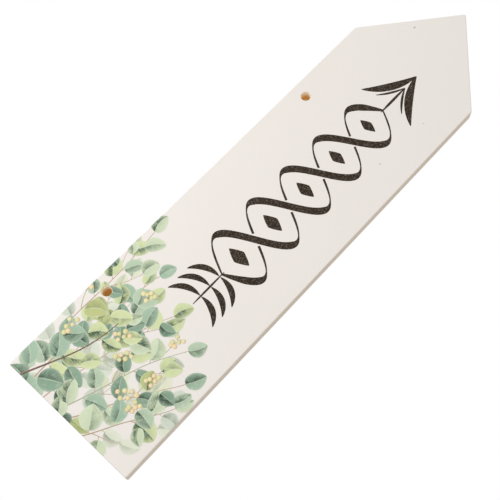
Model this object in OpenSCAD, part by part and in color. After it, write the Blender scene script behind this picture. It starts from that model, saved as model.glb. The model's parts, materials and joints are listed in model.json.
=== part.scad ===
// A flat wooden direction sign cut as an arrow: one straight board with a square tail and a
// pointed head, its corners rounded and its arrises sanded, with two holes drilled near the
// top edge to hang it by a cord or to screw it to a post or a wall.
// The front faces -Y, the head points along +X and the hanging edge is up, along +Z.
// The origin lies midway between the two holes, on the back face.

/* [Board] */
// Length of the straight part, from the tail to the shoulders
body_length = 320; // [240:1:600]
// Length of the pointed head, from the shoulders to the tip
head_length = 58.5; // [20:0.5:150]
// Width of the board, from the bottom edge to the top edge
board_width = 100; // [60:1:250]
// Thickness of the board
board_thickness = 9; // [4:0.5:25]

/* [Sanded edges] */
// Radius of the five corners of the outline
corner_radius = 1.2; // [1:0.1:8]
// Radius of the sanded arris round the front face and round the back face
arris_radius = 0.8; // [0.2:0.1:2]

/* [Hanging holes] */
// Diameter of the two drilled holes
hole_diameter = 6.5; // [3:0.5:12]
// Distance from the tail to the centre of the hole near it
tail_margin = 71.5; // [15:0.5:100]
// Distance from the shoulders back to the centre of the other hole
shoulder_margin = 63.5; // [15:0.5:100]
// Distance from the top edge down to the centres of both holes
top_margin = 10.8; // [10:0.1:28]
// Width and depth of the small bevel that breaks each rim of a hole
rim_bevel = 0.3; // [0:0.1:1]

/* [Hidden] */

board_colour = [0.92, 0.89, 0.86];
// Steps in a full turn of a hole, and of a rounded corner or arris
hole_steps = 96;
corner_steps = 40;
// How far the hole cutter runs past each face
cutter_overrun = 1;

// The arris never takes more than the corner it rolls round, nor a third of the thickness
arris = min(arris_radius, 0.9 * corner_radius, board_thickness / 3);

// Places along and across the board, with the origin midway between the holes
hole_spacing = body_length - tail_margin - shoulder_margin;
tail_x = -hole_spacing / 2 - tail_margin;
shoulder_x = tail_x + body_length;
tip_x = shoulder_x + head_length;
top_z = top_margin;
bottom_z = top_z - board_width;
tip_z = (top_z + bottom_z) / 2;

// The outline as the front is seen, anticlockwise from the lower corner of the tail
outline = [
    [tail_x, bottom_z],
    [shoulder_x, bottom_z],
    [tip_x, tip_z],
    [shoulder_x, top_z],
    [tail_x, top_z],
];
last = len(outline) - 1;

// The unit normal that points into the board from the side between two corners
function inward(from, to) = let (run = to - from) [-run.y, run.x] / norm(run);

// The centre that corner i is rounded about: corner_radius in from both sides that meet there
function corner_centre(i) =
    let (
        before = inward(outline[i == 0 ? last : i - 1], outline[i]),
        after = inward(outline[i], outline[i == last ? 0 : i + 1])
    )
    outline[i] + corner_radius * (before + after) / (1 + before * after);

// A disc with the corner's radius and the board's thickness, both of its rims rolled over by
// the arris, turned from half of a rounded rectangle
module corner_disc() {
    rotate_extrude($fn = corner_steps)
        intersection() {
            square([corner_radius, board_thickness]);
            offset(r = arris, $fn = corner_steps)
                translate([arris - corner_radius, arris])
                    square([2 * (corner_radius - arris), board_thickness - 2 * arris]);
        }
}

// The sawn and sanded blank, lying on its back: five such discs and all that lies between them
module blank() {
    hull()
        for (i = [0:last])
            translate(corner_centre(i))
                corner_disc();
}

// Drill and countersink in one turned shape: a straight hole with a 45 degree bevel at each rim
module hole_cutter() {
    r = hole_diameter / 2;
    flare = r + rim_bevel + cutter_overrun;
    rotate_extrude($fn = hole_steps)
        polygon([
            [0, -cutter_overrun],
            [flare, -cutter_overrun],
            [r, rim_bevel],
            [r, board_thickness - rim_bevel],
            [flare, board_thickness + cutter_overrun],
            [0, board_thickness + cutter_overrun],
        ]);
}

// The finished board, stood up with its front towards -Y and its back on the plane y = 0
module sign_board() {
    color(board_colour)
        rotate([90, 0, 0])
            difference() {
                blank();
                for (side = [-1, 1])
                    translate([side * hole_spacing / 2, 0, 0])
                        hole_cutter();
            }
}

sign_board();
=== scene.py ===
import json
import math

import bmesh
import bpy
import numpy as np
from mathutils import Matrix, Vector


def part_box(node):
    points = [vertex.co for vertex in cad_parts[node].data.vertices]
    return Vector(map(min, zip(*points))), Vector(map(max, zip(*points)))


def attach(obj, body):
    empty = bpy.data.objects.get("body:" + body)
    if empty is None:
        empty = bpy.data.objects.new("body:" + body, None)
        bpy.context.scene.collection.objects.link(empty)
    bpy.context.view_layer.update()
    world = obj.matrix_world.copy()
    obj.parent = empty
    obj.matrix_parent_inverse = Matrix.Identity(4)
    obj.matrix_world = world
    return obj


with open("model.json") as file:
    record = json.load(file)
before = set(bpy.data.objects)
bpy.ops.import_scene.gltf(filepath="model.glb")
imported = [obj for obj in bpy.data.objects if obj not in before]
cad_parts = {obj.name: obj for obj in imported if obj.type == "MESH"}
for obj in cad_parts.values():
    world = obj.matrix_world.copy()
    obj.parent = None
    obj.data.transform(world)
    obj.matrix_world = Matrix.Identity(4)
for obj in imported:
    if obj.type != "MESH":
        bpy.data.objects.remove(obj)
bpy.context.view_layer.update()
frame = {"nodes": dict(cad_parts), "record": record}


# The board: one length of pale softwood, sawn to an arrow, sanded all round and drilled twice.
# The front has thin coats of matt ivory paint under the print. The paint gives out on the
# rounded arris, and the edges, the holes and the back are bare wood.

MM = 0.001

board = frame["nodes"]["sign_board"]
board_low, board_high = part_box("sign_board")
tail_x = board_low.x
top_z, bottom_z = board_high.z, board_low.z
middle_z = (top_z + bottom_z) / 2
front_y, back_y = board_low.y, board_high.y


def read(items, key, kind, per_item=1):
    """The values of one property over all items of a mesh, as an array. Where an item has
    several, each has its own row."""
    values = np.zeros(len(items) * per_item, kind)
    items.foreach_get(key, values)
    return values.reshape(-1, per_item) if per_item > 1 else values


def points_of(mesh):
    """The points of a mesh in metres, one row each."""
    return read(mesh.vertices, "co", np.float32, 3).astype(float)


# The front's flat part stops one arris radius short of the edges. Its points have the front's
# depth to within a hundredth of a millimetre
SAME_DEPTH = 0.01 * MM
board_points = points_of(board.data)
front_points = board_points[board_points[:, 1] < front_y + SAME_DEPTH]
arris = top_z - front_points[:, 2].max()

mounts = {mount["name"]: mount for mount in frame["record"]["mounts"]}
tail_hole = mounts["hang_hole_tail"]
hole_x, _, hole_z = tail_hole["pos_m"]
hole_r = tail_hole["dims"]["r_mm"] * MM
hole_bevel = (back_y - front_y - tail_hole["dims"]["length_mm"] * MM) / 2
hole_rim_r = hole_r + hole_bevel


def linear(srgb_hex):
    """An sRGB colour such as "ebe6e0" as linear RGBA, each channel through the sRGB curve."""
    channels = [int(srgb_hex[i:i + 2], 16) / 255 for i in (0, 2, 4)]
    return tuple(c / 12.92 if c <= 0.04045 else ((c + 0.055) / 1.055) ** 2.4
                 for c in channels) + (1.0,)


def add_node(tree, kind, inputs=None, **settings):
    """Adds one shader node: settings are its own properties, and inputs go by socket name or
    number, each a plain value or the output socket that feeds it."""
    node = tree.nodes.new("ShaderNode" + kind)
    for key, value in settings.items():
        setattr(node, key, value)
    for key, value in (inputs or {}).items():
        if isinstance(value, bpy.types.NodeSocket):
            tree.links.new(value, node.inputs[key])
        else:
            node.inputs[key].default_value = value
    return node


def new_material(name):
    """An empty node material and its tree."""
    material = bpy.data.materials.new(name)
    material.use_nodes = True
    material.node_tree.nodes.clear()
    return material, material.node_tree


# Sockets of the colour form of the Mix node
FACTOR, COLOUR_A, COLOUR_B, MIXED = 0, 6, 7, 2

# The pith runs behind the board, below its middle line and turned a little out of line
RING_SPACING = 2.6 * MM
PITH_BEHIND = 34 * MM
PITH_BELOW = 12 * MM
PITH_TURN = (0, math.radians(1.3), math.radians(1.6))
# The ring texture repeats every 2 pi / 20 units at a scale of 1
RING_TEXTURE_PERIOD = 2 * math.pi / 20
# Fibres are drawn half a millimetre wide to show. The real ones are far finer
FIBRE_WIDTH = 0.5 * MM
FIBRE_LENGTH = 22 * MM
# Depths behind the front over which a hole's wall goes from painted light to painted shade
BORE_SHADE_FROM, BORE_SHADE_TO = 1.5 * MM, 6.5 * MM
# Depths behind the front between which the paint on the arris gives out, and how far that
# end wanders along the brush lines
PAINT_FULL, PAINT_GONE = 0.25 * MM, 0.55 * MM
PAINT_WANDER = 0.2 * MM
BRUSH_LENGTH, BRUSH_WIDTH = 30 * MM, 1.5 * MM
# How soon the paint is full past a hole's rim, and the width of the faint clouds in it
RIM_BLEND = 0.1 * MM
CLOUD_WIDTH = 71.4 * MM
# Small marks in the paint, in mm: place along the board from its origin, height above its
# middle line, and reach
PAINT_MARKS = [(182.6, 19.4, 1.1), (86.3, -29.8, 0.75), (128.0, -32.0, 0.6)]


def painted_softwood():
    """Softwood sawn flat, sanded, primed and painted matt ivory on the front only.

    The wood is solid: pale rings round a pith that runs lengthwise behind the board, each
    ending in a darker line, crossed by fine fibres drawn out along the grain. The hole walls
    are painted pale near the front and a deeper orange further in: painted light at the mouth
    and painted shade down the bore. The paint hides all else of the front, and it stops on
    the arris and at the bevelled rims."""
    material, tree = new_material("softwood_with_matt_ivory_paint")
    place = add_node(tree, "TexCoord").outputs["Object"]
    depth = add_node(tree, "SeparateXYZ", {0: place}).outputs["Y"]

    from_pith = add_node(tree, "Mapping", {
        "Vector": place,
        "Location": (0, -PITH_BEHIND, -middle_z + PITH_BELOW),
        "Rotation": PITH_TURN,
    })
    rings = add_node(tree, "TexWave", {
        "Vector": from_pith.outputs[0],
        "Scale": RING_TEXTURE_PERIOD / RING_SPACING,
        "Distortion": 1.1,
        "Detail": 2.0,
        "Detail Scale": 0.08,
    }, wave_type="RINGS", rings_direction="X", wave_profile="SAW")
    late_line = add_node(tree, "MapRange", {
        "Value": rings.outputs["Fac"], "From Min": 0.35, "From Max": 1.0,
    }, interpolation_type="SMOOTHSTEP")
    along_grain = add_node(tree, "Mapping", {
        "Vector": place,
        "Scale": (1 / FIBRE_LENGTH, 1 / FIBRE_WIDTH, 1 / FIBRE_WIDTH),
    })
    fibres = add_node(tree, "TexNoise", {
        "Vector": along_grain.outputs[0], "Scale": 1.0, "Detail": 3.0, "Roughness": 0.6,
    })
    ringed = add_node(tree, "Mix", {
        FACTOR: late_line.outputs[0], COLOUR_A: linear("dfd4c7"), COLOUR_B: linear("c4b29f"),
    }, data_type="RGBA")
    fibre_shade = add_node(tree, "MapRange", {
        "Value": fibres.outputs["Fac"], "From Min": 0.35, "From Max": 0.7, "To Max": 0.45,
    })
    bare_wood = add_node(tree, "Mix", {
        FACTOR: fibre_shade.outputs[0], COLOUR_A: ringed.outputs[MIXED],
        COLOUR_B: linear("c0b0a0"),
    }, data_type="RGBA")

    # Both holes lie as far from the origin, so the distance is taken in one half of the board
    mirrored = add_node(tree, "VectorMath", {0: place}, operation="ABSOLUTE")
    flattened = add_node(tree, "VectorMath", {0: mirrored.outputs[0], 1: (1, 0, 1)},
                         operation="MULTIPLY")
    to_hole = add_node(tree, "VectorMath", {
        0: flattened.outputs[0], 1: (abs(hole_x), 0, abs(hole_z)),
    }, operation="DISTANCE").outputs["Value"]
    in_hole = add_node(tree, "MapRange", {
        "Value": to_hole, "From Min": hole_rim_r, "From Max": hole_r,
    }, interpolation_type="SMOOTHSTEP")
    # Down each hole the wall goes from a pale painted light at the front to a deeper orange
    # painted shade further in
    deep_in = add_node(tree, "MapRange", {
        "Value": depth, "From Min": front_y + BORE_SHADE_FROM, "From Max": front_y + BORE_SHADE_TO,
    }, interpolation_type="SMOOTHSTEP")
    bore_light_and_shade = add_node(tree, "Mix", {
        FACTOR: deep_in.outputs[0], COLOUR_A: linear("fdf3e2"), COLOUR_B: linear("f2cd90"),
    }, data_type="RGBA")
    drilled_wood = add_node(tree, "Mix", {
        FACTOR: in_hole.outputs[0], COLOUR_A: bare_wood.outputs[MIXED],
        COLOUR_B: bore_light_and_shade.outputs[MIXED],
    }, data_type="RGBA")

    # Brush lines and the ragged end of the paint come from one noise drawn out along the board
    brush_place = add_node(tree, "Mapping", {
        "Vector": place, "Scale": (1 / BRUSH_LENGTH, 1 / BRUSH_WIDTH, 1 / BRUSH_WIDTH),
    })
    brush = add_node(tree, "TexNoise", {
        "Vector": brush_place.outputs[0], "Scale": 1.0, "Detail": 2.0,
    })
    ragged = add_node(tree, "MapRange", {
        "Value": brush.outputs["Fac"], "To Min": -PAINT_WANDER, "To Max": PAINT_WANDER,
    })
    ragged_depth = add_node(tree, "Math", {0: depth, 1: ragged.outputs[0]}, operation="ADD")
    on_front = add_node(tree, "MapRange", {
        "Value": ragged_depth.outputs[0],
        "From Min": front_y + PAINT_GONE, "From Max": front_y + PAINT_FULL,
    })
    off_rim = add_node(tree, "MapRange", {
        "Value": to_hole, "From Min": hole_rim_r, "From Max": hole_rim_r + RIM_BLEND,
    })
    painted = add_node(tree, "Math", {0: on_front.outputs[0], 1: off_rim.outputs[0]},
                       operation="MULTIPLY")
    cloudy = add_node(tree, "TexNoise", {
        "Vector": place, "Scale": 1 / CLOUD_WIDTH, "Detail": 2.0,
    })
    ivory = add_node(tree, "Mix", {
        FACTOR: cloudy.outputs["Fac"], COLOUR_A: linear("ece6e1"), COLOUR_B: linear("e9e3dd"),
    }, data_type="RGBA")

    # Each mark is darkest over the inner part of its reach
    marked = ivory.outputs[MIXED]
    for mark_x, above_middle, reach in PAINT_MARKS:
        to_mark = add_node(tree, "VectorMath", {
            0: place, 1: (mark_x * MM, front_y, middle_z + above_middle * MM),
        }, operation="DISTANCE").outputs["Value"]
        mark = add_node(tree, "MapRange", {
            "Value": to_mark, "From Min": reach * MM, "From Max": 0.3 * reach * MM,
            "To Max": 0.75,
        })
        marked = add_node(tree, "Mix", {
            FACTOR: mark.outputs[0], COLOUR_A: marked, COLOUR_B: linear("a5a49c"),
        }, data_type="RGBA").outputs[MIXED]

    colour = add_node(tree, "Mix", {
        FACTOR: painted.outputs[0], COLOUR_A: drilled_wood.outputs[MIXED], COLOUR_B: marked,
    }, data_type="RGBA")
    roughness = add_node(tree, "MapRange", {
        "Value": painted.outputs[0], "To Min": 0.78, "To Max": 0.55,
    })
    relief = add_node(tree, "MapRange", {
        "Value": painted.outputs[0], "To Min": 1.0, "To Max": 0.15,
    })
    height = add_node(tree, "Math", {0: fibres.outputs["Fac"], 1: relief.outputs[0]},
                      operation="MULTIPLY")
    bump = add_node(tree, "Bump", {
        "Height": height.outputs[0], "Strength": 0.35, "Distance": 0.08 * MM,
    })
    surface = add_node(tree, "BsdfPrincipled", {
        "Base Color": colour.outputs[MIXED], "Roughness": roughness.outputs[0],
        "Normal": bump.outputs[0], "Specular IOR Level": 0.3,
    })
    add_node(tree, "OutputMaterial", {"Surface": surface.outputs[0]})
    return material


board.data.materials.clear()
board.data.materials.append(painted_softwood())


# The print: thin films of ink laid on the painted front. Each film is a patch of surface that
# follows the face, bends over the arris as the paint does, stops short of its back half and
# is cut out round the hole. Every film lies a little higher than the one it covers.

FILM_LIFT = 0.02 * MM
LAYER_STEP = 0.003 * MM
# Shares of the arris radius, in from the edge: cuts that let a film bend, and where it ends
FILM_BENDS = (1.0, 0.7, 0.5, 0.35, 0.25)
FILM_END = 0.16
# The share of the arris radius past which a film falls back no further
FURTHEST_BACK = 0.95
# Points of a film this close together are one, and points this near a cut lie on it (m)
WELD = 1e-7
ON_CUT = 1e-8


def face_depth(x, z):
    """Y of the painted surface at (x, z): flat inside, and within one arris radius r of the
    tail, top or bottom edge it falls back by r - sqrt(r^2 - s^2), with s the reach past the
    flat. The reach is held just short of r, where the arris would turn upright."""
    inset = np.minimum(np.minimum(x - tail_x, top_z - z), z - bottom_z)
    reach = np.clip(arris - inset, 0, FURTHEST_BACK * arris)
    return front_y + arris - np.sqrt(arris ** 2 - reach ** 2)


def cut_at_edges(flat):
    """Cuts a flat bmesh at the edges' bend lines and drops what passes the end of the paint."""
    edges = [((tail_x, 0, 0), (-1, 0, 0)), ((0, 0, top_z), (0, 0, 1)),
             ((0, 0, bottom_z), (0, 0, -1))]
    for point, outward in edges:
        for share in FILM_BENDS + (FILM_END,):
            on_line = Vector(point) - Vector(outward) * share * arris
            bmesh.ops.bisect_plane(
                flat, geom=flat.verts[:] + flat.edges[:] + flat.faces[:], dist=ON_CUT,
                plane_co=on_line, plane_no=outward, clear_outer=share == FILM_END)


def push_off_hole(mesh):
    """Moves each point that lies over the tail hole straight out from its centre to its rim,
    and returns the numbers of the faces that lay wholly over it."""
    points = points_of(mesh)
    off_x, off_z = points[:, 0] - hole_x, points[:, 2] - hole_z
    reach = np.maximum(np.hypot(off_x, off_z), WELD)
    over_hole = reach < hole_rim_r
    stretch = np.where(over_hole, hole_rim_r / reach, 1.0)
    points[:, 0] = hole_x + off_x * stretch
    points[:, 2] = hole_z + off_z * stretch
    mesh.vertices.foreach_set("co", points.astype(np.float32).ravel())
    corners = read(mesh.loops, "vertex_index", np.int32)
    first_corners = read(mesh.polygons, "loop_start", np.int32)
    return np.nonzero(np.logical_and.reduceat(over_hole[corners], first_corners))[0].tolist()


def lay_film(name, x, z, lift, u, v, wash, material):
    """One piece made of many patches. x, z, u and v hold (patches, rows, columns): mm from the
    tail and above the middle line, and shares of the patch. lift and wash hold one height in
    metres and one colour a patch. Grid neighbours are joined by quads that face the viewer,
    then the whole is cut to the board, pushed off the hole and pressed onto the face."""
    at = np.arange(x.size).reshape(x.shape)
    quads = np.stack([at[:, :-1, :-1], at[:, 1:, :-1], at[:, 1:, 1:], at[:, :-1, 1:]], -1)
    height = np.broadcast_to(lift[:, None, None], x.shape)
    points = np.stack([tail_x + x * MM, -height, middle_z + z * MM], -1).reshape(-1, 3)
    mesh = bpy.data.meshes.new(name)
    mesh.from_pydata(points.tolist(), [], quads.reshape(-1, 4).tolist())
    colours = np.broadcast_to(wash[:, None, None, :], x.shape + (4,))
    tint = mesh.color_attributes.new("wash", "FLOAT_COLOR", "POINT")
    tint.data.foreach_set("color", colours.astype(np.float32).ravel())
    corners = read(mesh.loops, "vertex_index", np.int32)
    shares = np.stack([u.ravel()[corners], v.ravel()[corners]], -1)
    mesh.uv_layers.new(name="patch").data.foreach_set("uv", shares.astype(np.float32).ravel())

    flat = bmesh.new()
    flat.from_mesh(mesh)
    bmesh.ops.remove_doubles(flat, verts=flat.verts[:], dist=WELD)
    cut_at_edges(flat)
    flat.to_mesh(mesh)
    over_hole = push_off_hole(mesh)
    flat.clear()
    flat.from_mesh(mesh)
    flat.faces.ensure_lookup_table()
    bmesh.ops.delete(flat, geom=[flat.faces[i] for i in over_hole], context="FACES")
    bmesh.ops.dissolve_degenerate(flat, edges=flat.edges[:], dist=WELD)
    flat.to_mesh(mesh)
    flat.free()

    laid = points_of(mesh)
    laid[:, 1] += face_depth(laid[:, 0], laid[:, 2])
    mesh.vertices.foreach_set("co", laid.astype(np.float32).ravel())
    mesh.update()
    mesh.materials.append(material)
    piece = bpy.data.objects.new(name, mesh)
    bpy.context.scene.collection.objects.link(piece)
    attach(piece, "root")


# The twigs: fine printed stems that come in over the tail and fan out towards the head, each
# with shorter side twigs. They carry the leaves and buds, so their lines are drawn first, as
# gentle swinging curves.

# From the tail and above the middle (mm), heading and turn (degrees), length (mm)
SPRAYS = [
    (-8, 38, 3, -1, 122),
    (-8, 32, 0, -12, 104),
    (-8, 44, -30, 26, 92),
    (-8, 20, -4, -18, 94),
    (-8, 10, -14, -14, 88),
    (-8, 6, -30, -2, 78),
    (-8, -8, -34, 4, 62),
]
# Share of the spray where each side twig leaves it, and its lean (degrees) and length (mm)
SIDE_TWIGS = [(0.26, -36, 24), (0.44, 34, 22), (0.60, -33, 20), (0.76, 30, 17)]
# What chance adds at most to a side twig's place and lean, and by what it scales its length
TWIG_SHIFT, TWIG_SWAY, TWIG_SCALES = 0.05, 8, (0.85, 1.15)
# A side twig bends back by this share of its lean. On a spray shorter than this (mm) it is
# shorter too, down to this share
TWIG_BEND_BACK = 0.35
FULL_SPRAY, SHORTEST_TWIG = 95, 0.7
# Each line swings by this angle (degrees) to either side, this many times on its way, and
# the next line begins this share of a swing later
SWING, SWINGS, SWING_SHIFT = 4, 1.3, 0.13
ROWS = 33

# All that is left to chance in the print is drawn from here, in turn
draw = np.random.default_rng(7)
share = np.linspace(0, 1, ROWS)


def grow(start_x, start_z, heading, turn, length):
    """Lines of twigs, one a row: the heading turns evenly from the start to the end, swings to
    either side as a sine on the way, and the points are the running sum of short steps
    along it."""
    phase = SWING_SHIFT * np.arange(len(heading))[:, None]
    swing = SWING * np.sin(2 * np.pi * (SWINGS * share + phase))
    angle = np.radians(heading[:, None] + turn[:, None] * share + swing)
    step = length[:, None] / (ROWS - 1)
    x = start_x[:, None] + np.cumsum(np.cos(angle) * step, 1)
    z = start_z[:, None] + np.cumsum(np.sin(angle) * step, 1)
    return x, z, angle


start_x, start_z, heading, turn, spray_length = np.array(SPRAYS, float).T
spray_x, spray_z, spray_angle = grow(start_x, start_z, heading, turn, spray_length)

fork_at, twig_lean, twig_length = np.tile(np.array(SIDE_TWIGS).T, len(SPRAYS))
of_spray = np.repeat(np.arange(len(SPRAYS)), len(SIDE_TWIGS))
twig_lean = np.where(of_spray % 2, -1, 1) * twig_lean
fork_at = fork_at + draw.uniform(-TWIG_SHIFT, TWIG_SHIFT, len(of_spray))
fork_row = np.rint(fork_at * (ROWS - 1)).astype(int)
twig_heading = (np.degrees(spray_angle[of_spray, fork_row]) + twig_lean
                + draw.uniform(-TWIG_SWAY, TWIG_SWAY, len(of_spray)))
twig_length = (twig_length * draw.uniform(*TWIG_SCALES, len(of_spray))
               * np.clip(spray_length[of_spray] / FULL_SPRAY, SHORTEST_TWIG, 1))
twig_x, twig_z, twig_angle = grow(spray_x[of_spray, fork_row], spray_z[of_spray, fork_row],
                                  twig_heading, -TWIG_BEND_BACK * twig_lean, twig_length)
# One side twig in three bears buds and no leaves
bears_buds = np.arange(len(of_spray)) % 3 == 1


# The leaves: round-oval printed leaves, one by one on alternate sides of each twig, in washes
# of teal, sage, mint and lime. Each has a deeper half, pale veins and a thin margin. Some are
# so pale that they read as lying further off.

LEAF_ROWS, LEAF_COLUMNS = 17, 9
# Steps between leaves along a line, and a leaf's stalk (mm)
LEAF_GAP = 9.0
STALK = 2.2
# Leaf lengths at the foot and at the tip (mm), and the share of the foot left bare
SPRAY_LEAVES = (15.0, 12.5, 0.03)
TWIG_LEAVES = (13.5, 12.0, 0.35)
# No leaf is set out past the first share of a line, or shifted past the second
LAST_LEAF_AT, LEAF_LIMIT = 0.93, 0.97
# What chance adds at most to a leaf's place (mm), and by what it scales its length
LEAF_SHIFT, LEAF_SCALES = 1.3, (0.8, 1.12)
# A leaf's lean from its line at the foot and at the tip, and the most that chance adds
# (degrees)
LEAN_AT_FOOT, LEAN_AT_TIP, LEAF_SWAY = 66, 40, 16
# The same two for the leaf that closes a line, its sway in radians
LAST_SWAY, LAST_SCALES = 0.25, (0.9, 1.1)
# Width as a share of the length, sideways bend, and pull towards a pointed lens
LEAF_WIDTHS, LEAF_BEND, LEAF_POINTS = (0.68, 0.92), 0.55, (0.0, 0.8)
# Powers of the outline: one moves its widest place below the middle, one shapes the lens
WIDEST_BELOW, LENS_FULLNESS = 0.88, 1.4
# Each wash, and its odds near the tail and at the far twig ends
LEAF_WASHES = {
    "8ca890": (0.20, 0.12), "a7c1a8": (0.22, 0.18), "bccfb4": (0.20, 0.20),
    "d3dfbe": (0.18, 0.16), "bec585": (0.08, 0.15), "d6dfab": (0.12, 0.19),
}
# How deep a wash's darker half is, from faint to strong
WASH_DEPTHS = (0.5, 1.7)
# From the tail to the far twig ends (mm)
FAR_ENDS = 85
# The share of leaves that are faded, how much ivory lets them down, and the depth left them
FADED_SHARE = 0.3
FADED_IVORY = 0.6
FADED_DEPTH = 0.1
BLOOM_WIDTH = 4.35 * MM
SIDE_VEINS = 7
VEIN_LEAN = 0.8
# Height kept free for the stems between the faded leaves and the others
STEM_ROOM = 0.03 * MM


def leaf_places():
    """One row a leaf: the stalk's foot x, z (mm), the angle and the length (mm). Leaves
    alternate along each line, lean forward more towards its end, and a last one closes it."""
    no_buds = np.zeros(len(SPRAYS), bool)
    lines = [(spray_x, spray_z, spray_angle, spray_length, no_buds) + SPRAY_LEAVES,
             (twig_x, twig_z, twig_angle, twig_length, bears_buds) + TWIG_LEAVES]
    places = []
    for x, z, angle, length, budded, first, last, bare in lines:
        for i in np.nonzero(~budded)[0]:
            steps = np.arange(bare * length[i], LAST_LEAF_AT * length[i], LEAF_GAP)
            shifts = draw.uniform(-LEAF_SHIFT, LEAF_SHIFT, len(steps))
            for k, along in enumerate(steps + shifts):
                s = float(np.clip(along / length[i], 0, LEAF_LIMIT))
                r = int(round(s * (ROWS - 1)))
                side = 1 if (k + i) % 2 else -1
                lean = LEAN_AT_FOOT + (LEAN_AT_TIP - LEAN_AT_FOOT) * s
                lean = math.radians(lean + draw.uniform(-LEAF_SWAY, LEAF_SWAY))
                size = (first + (last - first) * s) * draw.uniform(*LEAF_SCALES)
                places.append((x[i, r], z[i, r], angle[i, r] + side * lean, size))
            last_angle = angle[i, -1] + draw.uniform(-LAST_SWAY, LAST_SWAY)
            places.append((x[i, -1], z[i, -1], last_angle, last * draw.uniform(*LAST_SCALES)))
    return np.array(places)


def leaf_outline(rows, point):
    """Half width of each leaf as a share, at each row's share of its length. With u that share
    to a power under 1, which brings the widest place below the middle, it is the ellipse
    sqrt(4 u (1 - u)), and it goes over to the lens 1 - |2 u - 1|^p towards the tip."""
    u = rows[None, :] ** WIDEST_BELOW
    oval = np.sqrt(np.clip(4 * u * (1 - u), 0, 1))
    lens = 1 - np.abs(2 * u - 1) ** LENS_FULLNESS
    blend = point[:, None] * u
    return (1 - blend) * oval + blend * lens


def stacked(x, z):
    """Layer of each patch in drawing order: one above the highest of those whose circles it
    meets. A patch's circle is centred on the mean of its points and reaches the furthest."""
    middle_x, middle_z = x.mean((1, 2)), z.mean((1, 2))
    reach = np.hypot(x - middle_x[:, None, None], z - middle_z[:, None, None]).max((1, 2))
    layers = np.zeros(len(x))
    for i in range(1, len(x)):
        gap = np.hypot(middle_x[:i] - middle_x[i], middle_z[:i] - middle_z[i])
        covered = layers[:i][gap < reach[:i] + reach[i]]
        layers[i] = covered.max() + 1 if len(covered) else 0
    return layers


def place_in_patch(tree):
    """The shares along and across a film's patch, from its UV map."""
    shares = add_node(tree, "UVMap", uv_map="patch").outputs[0]
    patch = add_node(tree, "SeparateXYZ", {0: shares}).outputs
    return patch["X"], patch["Y"]


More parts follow.
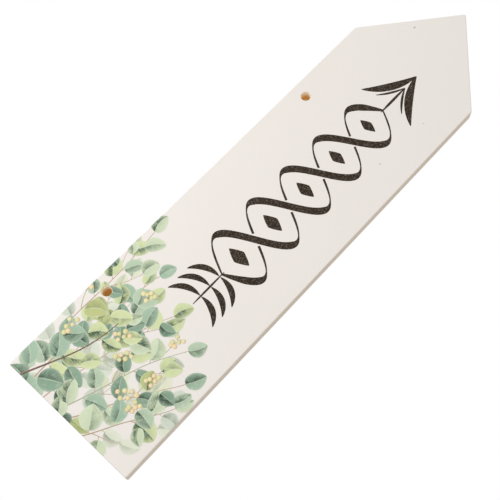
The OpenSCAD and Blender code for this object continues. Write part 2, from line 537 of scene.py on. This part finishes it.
def leaf_ink():
    """Watercolour leaf inks, printed flat: the leaf's own wash, deeper on one half and most of
    all beside the midrib and near the stalk, with pale veins left open in it, blooms where
    the colour ran, and a margin that dried thin."""
    material, tree = new_material("printed_watercolour_leaves")
    place = add_node(tree, "TexCoord").outputs["Object"]
    leaf = add_node(tree, "Attribute", attribute_name="wash")
    wash, depth = leaf.outputs["Color"], leaf.outputs["Alpha"]
    along, across = place_in_patch(tree)
    from_rib = add_node(tree, "Math", {0: across, 1: 0.5}, operation="SUBTRACT")
    off_rib = add_node(tree, "Math", {0: from_rib.outputs[0]}, operation="ABSOLUTE").outputs[0]

    half = add_node(tree, "MapRange", {
        "Value": across, "From Min": 0.48, "From Max": 0.52, "To Min": 0.22,
    }, interpolation_type="SMOOTHSTEP").outputs[0]
    near_stalk = add_node(tree, "MapRange", {
        "Value": along, "From Min": 1.0, "From Max": 0.1, "To Min": 0.5, "To Max": 1.1,
    }).outputs[0]
    near_rib = add_node(tree, "MapRange", {
        "Value": off_rib, "From Min": 0.48, "From Max": 0.04, "To Min": 0.32, "To Max": 1.1,
    }).outputs[0]
    blooms = add_node(tree, "TexNoise", {
        "Vector": place, "Scale": 1 / BLOOM_WIDTH, "Detail": 3.0, "Distortion": 0.5,
    })
    bloom = add_node(tree, "MapRange", {
        "Value": blooms.outputs["Fac"], "From Min": 0.36, "From Max": 0.58, "To Min": 0.4,
        "To Max": 1.0,
    }).outputs[0]

    # Side veins leave the midrib at even steps and lean forward
    vein_lean = add_node(tree, "Math", {0: off_rib, 1: -VEIN_LEAN, 2: along},
                         operation="MULTIPLY_ADD")
    vein_wave = add_node(tree, "Math", {
        0: vein_lean.outputs[0], 1: 2 * math.pi * SIDE_VEINS}, operation="MULTIPLY")
    vein_sine = add_node(tree, "Math", {0: vein_wave.outputs[0]}, operation="SINE")
    between_veins = add_node(tree, "MapRange", {
        "Value": vein_sine.outputs[0], "From Min": 0.95, "From Max": 0.5, "To Min": 0.72,
    }, interpolation_type="SMOOTHSTEP").outputs[0]

    shade = half
    for factor in (near_stalk, near_rib, bloom, between_veins, depth):
        shade = add_node(tree, "Math", {0: shade, 1: factor}, operation="MULTIPLY").outputs[0]
    deep = add_node(tree, "Mix", {
        FACTOR: 1.0, COLOUR_A: wash, COLOUR_B: linear("4a6454"),
    }, data_type="RGBA", blend_type="MULTIPLY")
    shaded = add_node(tree, "Mix", {
        FACTOR: shade, COLOUR_A: wash, COLOUR_B: deep.outputs[MIXED],
    }, data_type="RGBA")
    thin = add_node(tree, "MapRange", {
        "Value": blooms.outputs["Fac"], "From Min": 0.52, "From Max": 0.75, "To Max": 0.3,
    })
    thinned = add_node(tree, "Mix", {
        FACTOR: thin.outputs[0], COLOUR_A: shaded.outputs[MIXED], COLOUR_B: linear("e3ecd9"),
    }, data_type="RGBA")

    rib = add_node(tree, "MapRange", {
        "Value": off_rib, "From Min": 0.04, "From Max": 0.012, "To Max": 0.4,
    })
    ribbed = add_node(tree, "Mix", {
        FACTOR: rib.outputs[0], COLOUR_A: thinned.outputs[MIXED], COLOUR_B: linear("dce7d0"),
    }, data_type="RGBA")
    margin = add_node(tree, "MapRange", {
        "Value": off_rib, "From Min": 0.4, "From Max": 0.5, "To Max": 0.25,
    }, interpolation_type="SMOOTHSTEP")
    edged = add_node(tree, "Mix", {
        FACTOR: margin.outputs[0], COLOUR_A: ribbed.outputs[MIXED], COLOUR_B: linear("dfe8d6"),
    }, data_type="RGBA")
    surface = add_node(tree, "BsdfPrincipled", {
        "Base Color": edged.outputs[MIXED], "Roughness": 0.55, "Specular IOR Level": 0.3,
    })
    add_node(tree, "OutputMaterial", {"Surface": surface.outputs[0]})
    return material


places = leaf_places()
leaf_count = len(places)
faded = draw.random(leaf_count) < FADED_SHARE
places = places[np.lexsort((draw.random(leaf_count), ~faded))]
faded = np.sort(faded)[::-1]
foot_x, foot_z, leaf_angle, leaf_length = places.T
leaf_x = foot_x + STALK * np.cos(leaf_angle)
leaf_z = foot_z + STALK * np.sin(leaf_angle)
leaf_width = leaf_length * draw.uniform(*LEAF_WIDTHS, leaf_count)
leaf_bend = draw.uniform(-LEAF_BEND, LEAF_BEND, leaf_count)
leaf_point = draw.uniform(*LEAF_POINTS, leaf_count)
leaf_side = draw.choice([-1, 1], leaf_count)


def leaf_washes():
    """A wash for every leaf, by odds that pass from the tail to the far twig ends. The fourth
    channel says how deep its darker half is. A faded leaf's wash is let down with ivory."""
    odds = np.array(list(LEAF_WASHES.values()))
    out = np.clip(leaf_x / FAR_ENDS, 0, 1)[:, None]
    mixed = odds[:, 0] * (1 - out) + odds[:, 1] * out
    picks = (draw.random(leaf_count)[:, None] > np.cumsum(mixed, 1)).sum(1)
    washes = np.array([linear(c) for c in LEAF_WASHES])[np.minimum(picks, len(odds) - 1)]
    washes[:, 3] = draw.uniform(*WASH_DEPTHS, leaf_count)
    ivory = np.array(linear("ebe8dd"))
    ivory[3] = FADED_DEPTH
    let_down = (1 - FADED_IVORY) * washes + FADED_IVORY * ivory
    return np.where(faded[:, None], let_down, washes)


def leaf_patches():
    """Every leaf as a grid of places in mm, and the shares along and across it. Its rows r run
    from 0 to 1 as (1 - cos) / 2, closer towards both ends. A point lies the length times r
    forward. Sideways it lies the row's half width times its column, from -1 to 1, and the
    leaf's bend times r (1 - r). Both are then turned to the leaf's angle."""
    rows = (1 - np.cos(np.linspace(0, np.pi, LEAF_ROWS))) / 2
    columns = np.linspace(-1, 1, LEAF_COLUMNS)
    half_width = leaf_outline(rows, leaf_point) * leaf_width[:, None] / 2
    bend = (leaf_bend * leaf_length)[:, None] * rows * (1 - rows)
    sideways = bend[:, :, None] + half_width[:, :, None] * columns
    forward = (leaf_length[:, None] * rows)[:, :, None]
    cos_a, sin_a = np.cos(leaf_angle)[:, None, None], np.sin(leaf_angle)[:, None, None]
    x = leaf_x[:, None, None] + cos_a * forward - sin_a * sideways
    z = leaf_z[:, None, None] + sin_a * forward + cos_a * sideways
    u = np.broadcast_to(rows[None, :, None], x.shape)
    v = np.broadcast_to((1 + columns * leaf_side[:, None, None]) / 2, x.shape)
    return x, z, u, v


x, z, u, v = leaf_patches()
leaf_layers = stacked(x, z)
# The stems lie between the faded leaves and the others
faded_top = FILM_LIFT + LAYER_STEP * (leaf_layers[faded].max() + 1)
lowest = np.where(faded, FILM_LIFT, faded_top + STEM_ROOM)
leaf_lift = lowest + LAYER_STEP * leaf_layers
lay_film("printed_leaves", x, z, leaf_lift, u, v, leaf_washes(), leaf_ink())


# The stems: the twigs' own lines in thin pinkish-brown ink, with a short stalk to each leaf.
# They lie over the faded leaves and under the others, but for one dark stem in front.

# Which spray's stem lies in front, how many of its rows are drawn, and its width (mm)
FRONT_STEM, FRONT_ROWS, FRONT_WIDTH = 2, 26, 1.3
SPRAY_WIDTH, TWIG_WIDTH, STALK_WIDTH = 0.75, 0.5, 0.42
# The share of its width that a stem loses on its way
STEM_TAPER = 0.6
STEM_STEP = 0.001 * MM
STALK_ROWS = 4
# A stalk runs on under its leaf, to this many times its own length
STALK_REACH = 1.5
STEM_GRAIN = 1.11 * MM


def ribbon(centre_x, centre_z, direction, half_width, columns=3):
    """A band along each centre line: every row is spread evenly across it at right angles to
    the line's direction, as far as the half width at that row."""
    across = np.linspace(-1, 1, columns)
    x = centre_x[..., None] - np.sin(direction)[..., None] * half_width[..., None] * across
    z = centre_z[..., None] + np.cos(direction)[..., None] * half_width[..., None] * across
    rows = np.linspace(0, 1, centre_x.shape[1])[None, :, None]
    u = np.broadcast_to(rows, x.shape)
    v = np.broadcast_to((across + 1) / 2, x.shape)
    return x, z, u, v


def stem_ink():
    """Watercolour stem ink, printed flat: the twig's own colour, lighter along one side as a
    round twig in the light, and broken by fine grain."""
    material, tree = new_material("printed_stem_ink")
    place = add_node(tree, "TexCoord").outputs["Object"]
    wash = add_node(tree, "Attribute", attribute_name="wash").outputs["Color"]
    _, across = place_in_patch(tree)
    grain = add_node(tree, "TexNoise", {
        "Vector": place, "Scale": 1 / STEM_GRAIN, "Detail": 2.0,
    })
    lightest = add_node(tree, "MapRange", {"Value": grain.outputs["Fac"], "To Max": 0.6})
    light_side = add_node(tree, "Math", {0: across, 1: lightest.outputs[0]},
                          operation="MULTIPLY")
    lit = add_node(tree, "Mix", {
        FACTOR: light_side.outputs[0], COLOUR_A: wash, COLOUR_B: linear("e6d3be"),
    }, data_type="RGBA")
    surface = add_node(tree, "BsdfPrincipled", {
        "Base Color": lit.outputs[MIXED], "Roughness": 0.55, "Specular IOR Level": 0.3,
    })
    add_node(tree, "OutputMaterial", {"Surface": surface.outputs[0]})
    return material


def lay_stems(name, x, z, angle, width, lift, colour):
    """One film of evenly tapering ribbons (mm). Where two cross, the later one lies over the
    other. Returns the height of the next free layer."""
    taper = width[:, None] / 2 * (1 - STEM_TAPER * np.linspace(0, 1, x.shape[1]))
    x, z, u, v = ribbon(x, z, angle, taper)
    layers = stacked(x, z)
    colours = np.array([linear(c) for c in colour])[np.arange(len(x)) % len(colour)]
    lay_film(name, x, z, lift + STEM_STEP * layers, u, v, colours, stem_material)
    return lift + STEM_STEP * (layers.max() + 1)


stem_material = stem_ink()
behind = np.arange(len(SPRAYS)) != FRONT_STEM
twigs_top = lay_stems(
    "printed_side_twigs", twig_x, twig_z, twig_angle, np.full(len(twig_x), TWIG_WIDTH),
    faded_top, ["b79a83", "a3a67f", "b58d79"])
stems_top = lay_stems(
    "printed_stems", spray_x[behind], spray_z[behind], spray_angle[behind],
    np.full(behind.sum(), SPRAY_WIDTH), twigs_top, ["b58d79", "a98f6c", "b79a83", "9aa886"])
up_stalk = np.linspace(0, STALK_REACH * STALK, STALK_ROWS)[None, :]
lay_stems(
    "printed_leaf_stalks", foot_x[:, None] + np.cos(leaf_angle)[:, None] * up_stalk,
    foot_z[:, None] + np.sin(leaf_angle)[:, None] * up_stalk,
    np.repeat(leaf_angle[:, None], STALK_ROWS, 1), np.full(leaf_count, STALK_WIDTH),
    stems_top, ["a9ae86", "b79a83"])
front = (slice(FRONT_STEM, FRONT_STEM + 1), slice(FRONT_ROWS))
lay_stems("printed_front_stem", spray_x[front], spray_z[front], spray_angle[front],
          np.array([FRONT_WIDTH]), leaf_lift.max() + LAYER_STEP, ["501f12"])


# The buds: clusters of small round printed buds on hair stalks, at the ends of every third
# side twig. They are yellow-cream with an orange shade on the side away from the light.

BUDS_PER_TWIG = 6
# The share of a twig from which on it bears buds, and their lean from it (radians)
BUDS_FROM = 0.55
BUD_LEANS = (0.5, 1.2)
# Lengths of the bud stalks and radii of the buds (mm)
BUD_STALKS = (1.6, 2.8)
BUD_RADII = (1.3, 1.7)
BUD_COLOURS = ("ece5b4", "efdcb0", "dfe0a8")
# Which way the light comes from, as an angle on the face
BUD_LIGHT = 2.2
BUD_ROWS, BUD_COLUMNS = 5, 17


def bud_ink():
    """Watercolour bud ink, printed flat: cream yellow that deepens to orange-brown towards one
    side and the rim, so that a flat dot reads as a bead."""
    material, tree = new_material("printed_bud_ink")
    wash = add_node(tree, "Attribute", attribute_name="wash").outputs["Color"]
    outwards, from_light = place_in_patch(tree)
    rim = add_node(tree, "MapRange", {
        "Value": outwards, "From Min": 0.7, "From Max": 1.0, "To Max": 0.5,
    })
    side = add_node(tree, "MapRange", {
        "Value": from_light, "From Min": 0.4, "From Max": 1.0, "To Max": 0.4,
    })
    shade = add_node(tree, "Math", {0: rim.outputs[0], 1: side.outputs[0]}, operation="ADD")
    shaded = add_node(tree, "Mix", {
        FACTOR: shade.outputs[0], COLOUR_A: wash, COLOUR_B: linear("b98a4e"),
    }, data_type="RGBA")
    surface = add_node(tree, "BsdfPrincipled", {
        "Base Color": shaded.outputs[MIXED], "Roughness": 0.55, "Specular IOR Level": 0.3,
    })
    add_node(tree, "OutputMaterial", {"Surface": surface.outputs[0]})
    return material


bud_twigs = np.nonzero(bears_buds)[0]
bud_twig = np.repeat(bud_twigs, BUDS_PER_TWIG)
bud_step = np.tile(np.arange(BUDS_PER_TWIG), len(bud_twigs))
bud_share = BUDS_FROM + (1 - BUDS_FROM) * bud_step / (BUDS_PER_TWIG - 1)
bud_row = np.rint((ROWS - 1) * bud_share).astype(int)
bud_side = np.where(bud_step % 2, -1, 1)
bud_angle = twig_angle[bud_twig, bud_row] + bud_side * draw.uniform(*BUD_LEANS, len(bud_twig))
bud_stalk = draw.uniform(*BUD_STALKS, len(bud_twig))
bud_foot_x, bud_foot_z = twig_x[bud_twig, bud_row], twig_z[bud_twig, bud_row]
bud_x = bud_foot_x + bud_stalk * np.cos(bud_angle)
bud_z = bud_foot_z + bud_stalk * np.sin(bud_angle)
bud_r = draw.uniform(*BUD_RADII, len(bud_twig))
# The front stem has the layer between the leaves and these
top_layer = leaf_lift.max() + 2 * LAYER_STEP
to_bud = np.linspace(0, 1, STALK_ROWS)[None, :]
bud_stalks_top = lay_stems(
    "printed_bud_stalks", bud_foot_x[:, None] + (bud_x - bud_foot_x)[:, None] * to_bud,
    bud_foot_z[:, None] + (bud_z - bud_foot_z)[:, None] * to_bud,
    np.repeat(bud_angle[:, None], STALK_ROWS, 1), np.full(len(bud_x), STALK_WIDTH),
    top_layer, ["b58d79"])


def bud_patches():
    """Every bud as a round grid of places in mm: rings from its centre to its radius, and
    columns round it. The second share is 0 at the side towards the light and 1 away from it,
    half of 1 less the radius times the cosine of the angle from the light."""
    radius = np.linspace(0, 1, BUD_ROWS)[None, :, None]
    around = np.linspace(0, 2 * np.pi, BUD_COLUMNS)[None, None, :]
    x = bud_x[:, None, None] + bud_r[:, None, None] * radius * np.cos(around)
    z = bud_z[:, None, None] + bud_r[:, None, None] * radius * np.sin(around)
    from_light = (1 - radius * np.cos(around - BUD_LIGHT)) / 2
    return x, z, np.broadcast_to(radius, x.shape), np.broadcast_to(from_light, x.shape)


x, z, u, v = bud_patches()
bud_lift = bud_stalks_top + LAYER_STEP * stacked(x, z)
bud_colours = np.array([linear(colour) for colour in BUD_COLOURS])
bud_wash = bud_colours[draw.integers(0, len(BUD_COLOURS), len(bud_x))]
lay_film("printed_buds", x, z, bud_lift, u, v, bud_wash, bud_ink())


# The arrow: a printed charcoal ornament along the clear part of the face, which points the
# way. Two pen strokes of changing width are braided together between a fletched end and a
# barbed head. Every stroke is one thin film of ink.

# Places from the tail, heights and widths, in mm
ARROW_START, ARROW_END = 100, 317
ARROW_ABOVE_MIDDLE = -6
BRAID_START, BRAID_END, LOBES = 127, 282, 5
BRAID_RISE_FIRST, BRAID_RISE_LAST = 21.5, 17.0
# The nib's turn is in degrees. A stroke's width goes from thin to thick with this power
NIB_THICK, NIB_THIN, NIB_ANGLE = 5.0, 0.85, 45
NIB_SWELL = 1.5
# Over this length at either end of the braid the pen lifts, with this power of the way, which
# is counted from this far beyond the end
PEN_LIFT, PEN_LIFT_POWER, PEN_BEYOND = 7, 0.7, 0.4
# The strokes cross at about this slope (radians). The under one stops this far short of the
# upper one, and that much of the way is measured along the axis
CROSSING_SLOPE = 1.0
CROSSING_GAP = 0.75
SHARE_ALONG_AXIS = 0.62
LOBE_ROWS, STROKE_COLUMNS = 41, 5
FLECK_WIDTH = 0.8 * MM
INK_CLOUD_WIDTH = 11.1 * MM


def charcoal_ink():
    """Matt charcoal ink, printed flat: nearly black and slightly warm, with fine pale flecks
    where it missed the low spots of the paint. The flecks are drawn coarser than the real
    ones, which wouldn't show."""
    material, tree = new_material("printed_charcoal_ink")
    place = add_node(tree, "TexCoord").outputs["Object"]
    flecks = add_node(tree, "TexNoise", {
        "Vector": place, "Scale": 1 / FLECK_WIDTH, "Detail": 2.0, "Roughness": 0.65,
    })
    fleck = add_node(tree, "MapRange", {
        "Value": flecks.outputs["Fac"], "From Min": 0.51, "From Max": 0.72, "To Max": 0.55,
    })
    clouds = add_node(tree, "TexNoise", {
        "Vector": place, "Scale": 1 / INK_CLOUD_WIDTH, "Detail": 1.0,
    })
    cloudy = add_node(tree, "Mix", {
        FACTOR: clouds.outputs["Fac"], COLOUR_A: linear("241a0f"), COLOUR_B: linear("30261a"),
    }, data_type="RGBA")
    flecked = add_node(tree, "Mix", {
        FACTOR: fleck.outputs[0], COLOUR_A: cloudy.outputs[MIXED], COLOUR_B: linear("958a7b"),
    }, data_type="RGBA")
    surface = add_node(tree, "BsdfPrincipled", {
        "Base Color": flecked.outputs[MIXED], "Roughness": 0.7, "Specular IOR Level": 0.18,
    })
    add_node(tree, "OutputMaterial", {"Surface": surface.outputs[0]})
    return material


charcoal = charcoal_ink()


def lay_ink(name, x, z, u, v, first_layer=0):
    """Charcoal patches in mm, from the tail and above the ornament's own axis, each one layer
    above the last."""
    plain = np.ones((len(x), 4))
    lift = FILM_LIFT + LAYER_STEP * (first_layer + np.arange(len(x)))
    lay_film(name, x, ARROW_ABOVE_MIDDLE + z, lift, u, v, plain, charcoal)


def nib_width(angle):
    """Width of a broad pen's stroke in a direction: thin along the nib and thick across it,
    with a power of the sine of the angle between the two."""
    turned = np.abs(np.sin(angle - math.radians(NIB_ANGLE)))
    return NIB_THIN + (NIB_THICK - NIB_THIN) * turned ** NIB_SWELL


def clear_of_crossing(crossing, mirror, slope):
    """How far along the axis a stroke stops from a crossing that it meets at a slope: nothing
    where it goes over or at the braid's two ends, and else past half the width of the other
    stroke, which crosses at the opposite slope, and the gap."""
    goes_over = (crossing % 2 == 0) != (mirror > 0)
    if goes_over or crossing in (0, LOBES):
        return 0.0
    return (nib_width(-slope * CROSSING_SLOPE) / 2 + CROSSING_GAP) * SHARE_ALONG_AXIS


def braid():
    """Two mirrored sine strokes between the crossings, one patch a lobe and stroke. The height
    is a tapering rise times the sine. At each crossing one stroke in turn goes under, and
    stops short of the other by the gap. Both thin out at the two ends, as the pen lifts."""
    pitch = (BRAID_END - BRAID_START) / LOBES
    strokes = []
    for mirror in (1, -1):
        for lobe in range(LOBES):
            slope = mirror if lobe % 2 == 0 else -mirror
            after = clear_of_crossing(lobe, mirror, slope)
            before = clear_of_crossing(lobe + 1, mirror, -slope)
            strokes.append((mirror, BRAID_START + lobe * pitch + after,
                            BRAID_START + (lobe + 1) * pitch - before))
    mirror, start, end = np.array(strokes).T
    t = np.linspace(0, 1, LOBE_ROWS)
    x = start[:, None] + (end - start)[:, None] * t
    along = (x - BRAID_START) / (BRAID_END - BRAID_START)
    rise = BRAID_RISE_FIRST + (BRAID_RISE_LAST - BRAID_RISE_FIRST) * along
    z = mirror[:, None] * rise * np.sin(np.pi * LOBES * along)
    angle = np.arctan2(np.gradient(z, axis=1), np.gradient(x, axis=1))
    from_end = np.minimum(x - BRAID_START, BRAID_END - x)
    pressed = np.clip((from_end + PEN_BEYOND) / PEN_LIFT, 0, 1) ** PEN_LIFT_POWER
    width = NIB_THIN + (nib_width(angle) - NIB_THIN) * pressed
    return ribbon(x, z, angle, width / 2, STROKE_COLUMNS)


lay_ink("printed_braid", *braid())

# A lozenge fills each lobe of the braid, with slightly hollow sides
LOZENGE_HALF_FIRST, LOZENGE_HALF_LAST = 8.6, 6.4
LOZENGE_POWER = 1.7
LOZENGE_SLIMNESS = 0.52
LOZENGE_ROWS, LOZENGE_COLUMNS = 4, 49


def lozenges():
    """A diamond in the middle of each lobe: rings from its centre to its rim, whose x and z
    are the cosine and sine of the angle round it, each to a power and with its sign kept."""
    middle = BRAID_START + (np.arange(LOBES) + 0.5) * (BRAID_END - BRAID_START) / LOBES
    half = np.linspace(LOZENGE_HALF_FIRST, LOZENGE_HALF_LAST, LOBES)[:, None, None]
    radius = np.linspace(0, 1, LOZENGE_ROWS)[None, :, None]
    around = np.linspace(0, 2 * np.pi, LOZENGE_COLUMNS)[None, None, :]
    out_x = np.sign(np.cos(around)) * np.abs(np.cos(around)) ** LOZENGE_POWER
    out_z = np.sign(np.sin(around)) * np.abs(np.sin(around)) ** LOZENGE_POWER
    x = middle[:, None, None] + LOZENGE_SLIMNESS * half * radius * out_x
    z = half * radius * out_z
    u = np.broadcast_to(radius, x.shape)
    v = np.broadcast_to(around / (2 * np.pi), x.shape)
    return x, z, u, v


lay_ink("printed_lozenges", *lozenges())

# Width of a quill's two ends (mm), the power of its swell, and its rows
HAIRLINE = 0.35
QUILL_SWELL = 0.8
QUILL_ROWS = 33


def quills(start_x, start_z, end_x, end_z, bow, thick):
    """Curved pen strokes that swell and taper: each runs from start to end and bows sideways
    by bow times 4 t (1 - t). Its width is a hairline and thick times sin(pi t) to a power."""
    t = np.linspace(0, 1, QUILL_ROWS)[None, :]
    run_x, run_z = (end_x - start_x)[:, None], (end_z - start_z)[:, None]
    length = np.hypot(run_x, run_z)
    swell = bow[:, None] * 4 * t * (1 - t)
    x = start_x[:, None] + run_x * t - run_z / length * swell
    z = start_z[:, None] + run_z * t + run_x / length * swell
    angle = np.arctan2(np.gradient(z, axis=1), np.gradient(x, axis=1))
    width = HAIRLINE + thick[:, None] * np.sin(np.pi * t) ** QUILL_SWELL
    return ribbon(x, z, angle, width / 2, STROKE_COLUMNS)


# Fletching: pairs of quills swept back towards the tail from these places along the arrow,
# each with its foot a little off the shaft's line
QUILL_FEET = (8.0, 16.5, 25.0)
FOOT_OFF_SHAFT = 0.6
QUILL_BACK, QUILL_OUT, QUILL_BOW, QUILL_THICK = 9.5, 19.0, 3.2, 3.6
quill_foot = np.repeat(ARROW_START + np.array(QUILL_FEET), 2)
quill_side = np.tile([1.0, -1.0], len(QUILL_FEET))
lay_ink("printed_fletching", *quills(
    quill_foot, FOOT_OFF_SHAFT * quill_side, quill_foot - QUILL_BACK, QUILL_OUT * quill_side,
    -QUILL_BOW * quill_side, np.full(len(quill_foot), QUILL_THICK)))

# Head: broad limbs that sweep back from the tip, and finer ones inside them. For each pair:
# how far its tip lies behind the arrow's, how far it reaches back and out, its bow and its
# thickness
LIMBS = [(0.0, 32.0, 21.0, 3.2, 5.4), (12.0, 17.0, 11.0, 1.0, 1.3)]
behind_tip, limb_back, limb_out, limb_bow, limb_thick = np.repeat(LIMBS, 2, axis=0).T
limb_side = np.tile([1.0, -1.0], len(LIMBS))
limb_tip = ARROW_END - behind_tip
lay_ink("printed_arrow_head", *quills(
    limb_tip, np.zeros(len(limb_tip)), limb_tip - limb_back, limb_side * limb_out,
    limb_side * limb_bow, limb_thick))

# Shaft: one fine stroke from the fletched end into the braid, and one out of it to the head.
# They lie over the braid's strokes
SHAFT_AFTER_START = 1.0
SHAFT_OVERLAP = 2.0
SHAFT_THICK = np.array([1.0, 1.5])
lay_ink("printed_shaft", *quills(
    np.array([ARROW_START + SHAFT_AFTER_START, BRAID_END - SHAFT_OVERLAP]), np.zeros(2),
    np.array([BRAID_START + SHAFT_OVERLAP, limb_tip.min()]), np.zeros(2),
    np.zeros(2), SHAFT_THICK), first_layer=2 * LOBES)


# The stage: a plain pale floor well below the hanging sign, soft lamps, a pale surround, and
# behind each hole a small disc of painted shade, glowing warm brown, for the wall seen through
# it.

FLOOR_BELOW, FLOOR_WIDTH = 0.45, 12
# How far out (m) the floor begins to turn to plain white, and how far out it is white
WHITE_FROM, WHITE_AT = 0.5, 2.0
# How bright the surround is to all rays but those that show it
WORLD_LEVEL = 0.73
# How far behind the back the discs of painted shade lie, and their corners
SHADE_DISC_GAP = 0.2 * MM
SHADE_DISC_CORNERS = 48


def area_lamp(name, place, target, size, watts):
    """A square soft box at place, turned to target."""
    light = bpy.data.lights.new(name, "AREA")
    light.shape = "SQUARE"
    light.size = size
    light.energy = watts
    lamp = bpy.data.objects.new(name, light)
    bpy.context.scene.collection.objects.link(lamp)
    lamp.location = place
    lamp.rotation_euler = (Vector(target) - Vector(place)).to_track_quat("-Z", "Y").to_euler()


def rays_that_show(tree):
    """1 for a ray that shows the backdrop: one from the camera, or off or through a surface."""
    path = add_node(tree, "LightPath").outputs
    shows = add_node(tree, "Math", {0: path["Is Camera Ray"], 1: path["Is Glossy Ray"]},
                     operation="MAXIMUM")
    return add_node(tree, "Math", {0: shows.outputs[0], 1: path["Is Transmission Ray"]},
                    operation="MAXIMUM").outputs[0]


def plain_floor():
    """Matt pale floor that keeps the sign's shadow near it and runs out to plain white."""
    material, tree = new_material("matt_pale_floor")
    place = add_node(tree, "TexCoord").outputs["Object"]
    away = add_node(tree, "VectorMath", {0: place}, operation="LENGTH").outputs["Value"]
    far = add_node(tree, "MapRange", {
        "Value": away, "From Min": WHITE_FROM, "From Max": WHITE_AT,
    }, interpolation_type="SMOOTHSTEP")
    white_out = add_node(tree, "Math", {0: far.outputs[0], 1: rays_that_show(tree)},
                         operation="MULTIPLY")
    matt = add_node(tree, "BsdfDiffuse", {"Color": linear("f0efec")})
    white = add_node(tree, "Emission", {"Color": (1, 1, 1, 1), "Strength": 1.0})
    mixed = add_node(tree, "MixShader", {
        0: white_out.outputs[0], 1: matt.outputs[0], 2: white.outputs[0]})
    add_node(tree, "OutputMaterial", {"Surface": mixed.outputs[0]})
    return material


bpy.ops.mesh.primitive_plane_add(size=FLOOR_WIDTH, location=(0, 0, bottom_z - FLOOR_BELOW))
floor = bpy.context.object
floor.name = "floor"
floor.data.materials.append(plain_floor())


def painted_shade_disc(name, colour):
    """A disc that glows a fixed warm colour: painted shade standing for a wall in half light,
    which shows through a hole from the front. It is see-through from behind, so that the back
    of the sign is open to view."""
    material, tree = new_material(name)
    behind = add_node(tree, "NewGeometry").outputs["Backfacing"]
    shade_glow = add_node(tree, "Emission", {"Color": linear(colour), "Strength": 1.0})
    clear = add_node(tree, "BsdfTransparent")
    mixed = add_node(tree, "MixShader", {0: behind, 1: shade_glow.outputs[0], 2: clear.outputs[0]})
    add_node(tree, "OutputMaterial", {"Surface": mixed.outputs[0]})
    return material


# Each disc's colour is painted shade, darker for the tail hole as if it lay deeper in shade
for name, colour in (("hang_hole_tail", "966830"), ("hang_hole_head", "b4864a")):
    centre = mounts[name]["pos_m"]
    bpy.ops.mesh.primitive_circle_add(
        vertices=SHADE_DISC_CORNERS, radius=hole_rim_r, fill_type="NGON",
        location=(centre[0], back_y + SHADE_DISC_GAP, centre[2]), rotation=(math.pi / 2, 0, 0))
    patch = bpy.context.object
    patch.name = "painted_shade_behind_" + name
    patch.data.materials.append(painted_shade_disc("painted_shade_behind_" + name, colour))

world = bpy.data.worlds.new("pale_surround")
bpy.context.scene.world = world
world.use_nodes = True
world.node_tree.nodes.clear()
level = add_node(world.node_tree, "Math", {
    0: rays_that_show(world.node_tree), 1: 1 - WORLD_LEVEL, 2: WORLD_LEVEL,
}, operation="MULTIPLY_ADD")
sky = add_node(world.node_tree, "Background", {
    "Color": (1, 1, 1, 1), "Strength": level.outputs[0]})
add_node(world.node_tree, "OutputWorld", {"Surface": sky.outputs[0]})

sign_centre = ((board_low + board_high) / 2)[:]
area_lamp("key_soft_box", (-0.14, -0.52, 0.46), sign_centre, size=0.5, watts=2.5)
area_lamp("rear_soft_box", (0.3, 1.1, 0.6), sign_centre, size=1.0, watts=4.5)

# The camera stands low before the tail and looks up along the sign, turned so that the arrow
# runs up to the right across the picture
CAMERA_PLACE = Vector((-160.24, -543.93, -206.15)) * MM
CAMERA_TARGET = Vector((-13.52, -9.0, -47.06)) * MM
PICTURE_UP = Vector((0.6909, -0.3736, 0.6190))
LENS = 66.71
SENSOR = 36.0

camera_data = bpy.data.cameras.new("camera")
camera_data.sensor_width = SENSOR
camera_data.lens = LENS
camera = bpy.data.objects.new("camera", camera_data)
bpy.context.scene.collection.objects.link(camera)
ahead = (CAMERA_TARGET - CAMERA_PLACE).normalized()
right = ahead.cross(PICTURE_UP).normalized()
turned = Matrix((right, right.cross(ahead), -ahead)).transposed()
camera.matrix_world = Matrix.Translation(CAMERA_PLACE) @ turned.to_4x4()
bpy.context.scene.camera = camera
bpy.context.scene.view_settings.view_transform = "Standard"
